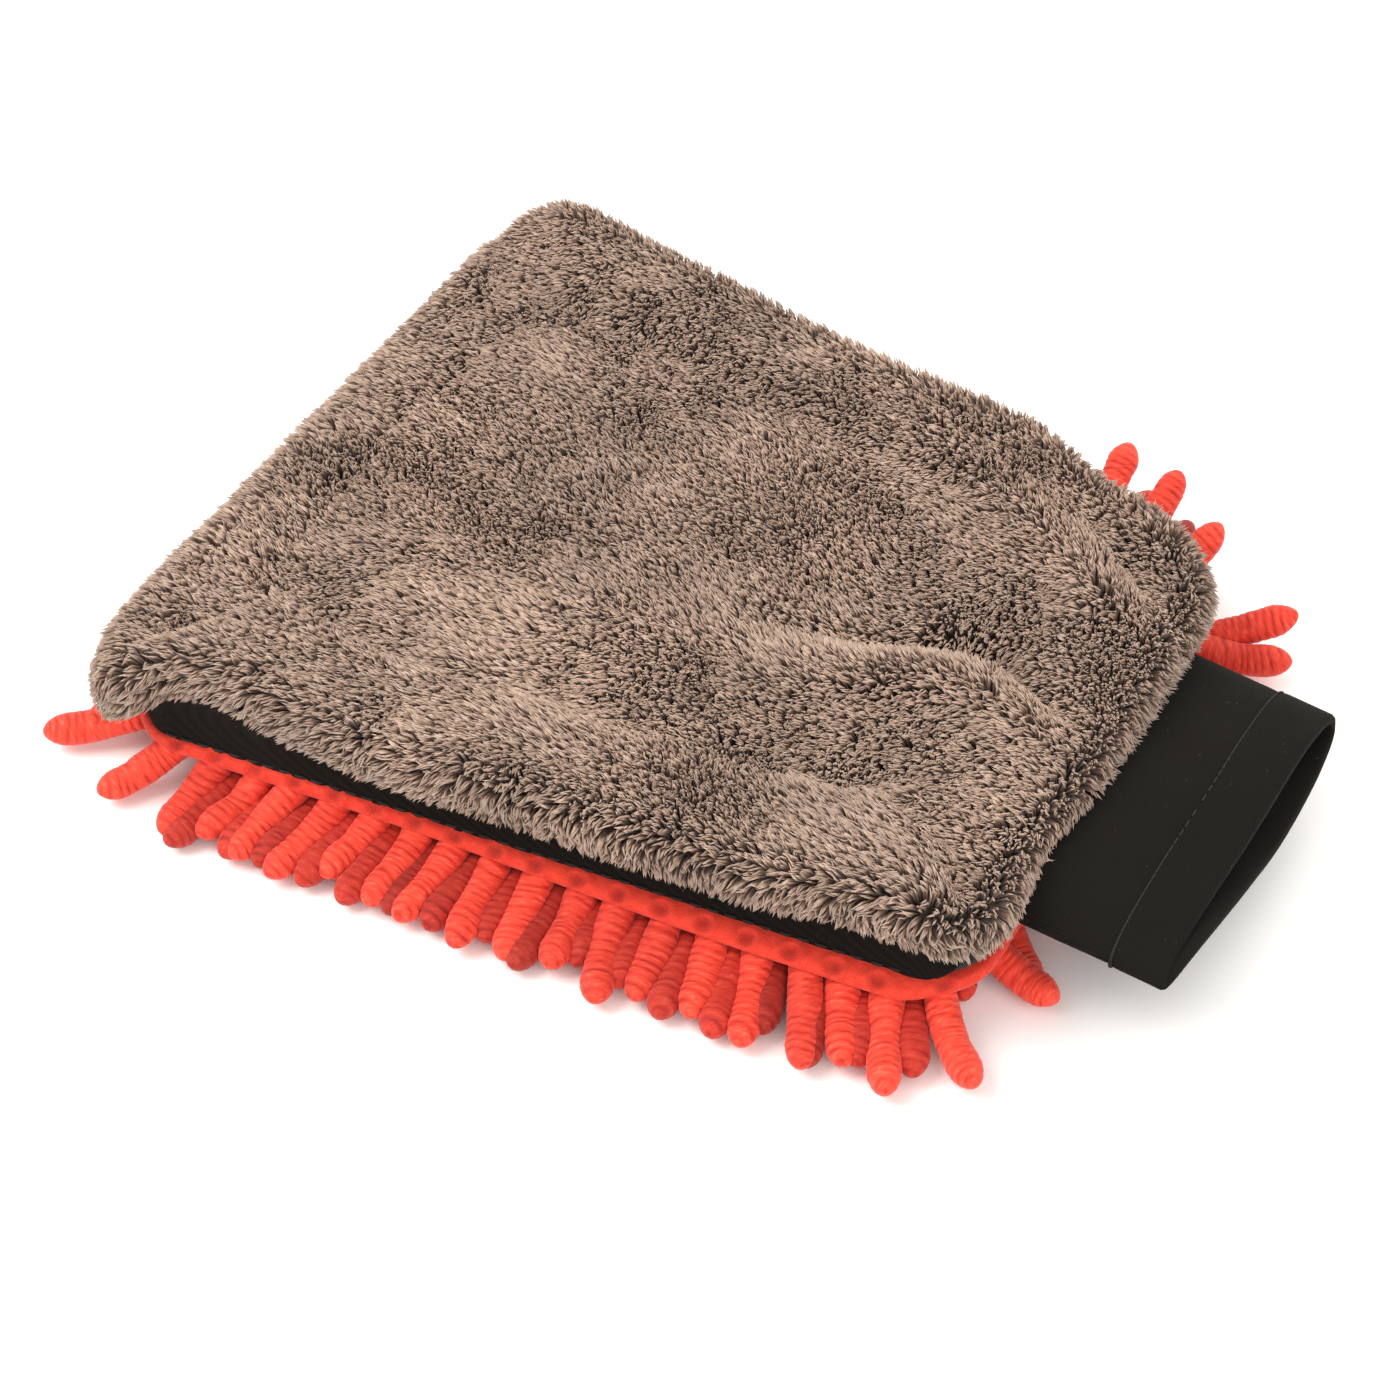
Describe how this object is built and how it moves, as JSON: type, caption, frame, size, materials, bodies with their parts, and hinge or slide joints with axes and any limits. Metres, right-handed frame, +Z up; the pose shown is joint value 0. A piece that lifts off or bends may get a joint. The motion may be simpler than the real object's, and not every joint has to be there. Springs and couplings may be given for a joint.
{
  "type": "wash mitt",
  "caption": "Two-sided wash mitt: plush pile on top, chenille noodles below, black gussets between, and an elastic knit cuff that folds at the wrist seam.",
  "frame": {"origin": "under the middle of the mitt's box, on the surface that the noodles rest on", "axes": "+X from the fingertips to the cuff, +Y across the hand, +Z up through the plush side"},
  "size_m": [0.2663, 0.2182, 0.0375],
  "materials": {
    "plush": "long-pile coral fleece, grey-taupe, matt with a soft sheen on the tips",
    "chenille": "orange-red chenille and knit, matt, ribbed across each noodle",
    "black_knit": "black fine-rib knit, matt",
    "lining": "plain dark woven lining, matt",
    "elastic": "woven elastic band",
    "thread": "black polyester sewing thread"
  },
  "bodies": {
    "mitt": {"plush_panel": "plush", "plush_lining": "lining", "chenille_backing": "chenille", "chenille_lining": "lining", "gusset_near": "black_knit", "gusset_far": "black_knit", "fingertip_stitching": "thread", "plush_edge_stitching": "thread", "backing_edge_stitching": "thread", "wrist_stitching": "thread", "noodle_row_01": "chenille", "noodle_row_02": "chenille", "noodle_row_03": "chenille", "noodle_row_04": "chenille", "noodle_row_05": "chenille", "noodle_row_06": "chenille", "noodle_row_07": "chenille", "noodle_row_08": "chenille", "noodle_row_09": "chenille", "noodle_row_10": "chenille", "noodle_row_11": "chenille", "noodle_row_12": "chenille", "noodle_row_13": "chenille", "noodle_row_14": "chenille", "noodle_row_15": "chenille", "noodle_row_16": "chenille", "noodle_row_17": "chenille", "noodle_row_18": "chenille", "noodle_row_19": "chenille", "noodle_row_20": "chenille"},
    "cuff": {"cuff": "black_knit", "cuff_elastic": "elastic", "cuff_hem_stitching": "thread"}
  },
  "joints": [
    {"name": "cuff_fold", "type": "hinge", "parent": "mitt", "child": "cuff", "pos_m": [0.095, 0, 0.0285], "axis": [0, -1, 0], "range_deg": [-8, 80]}
  ]
}
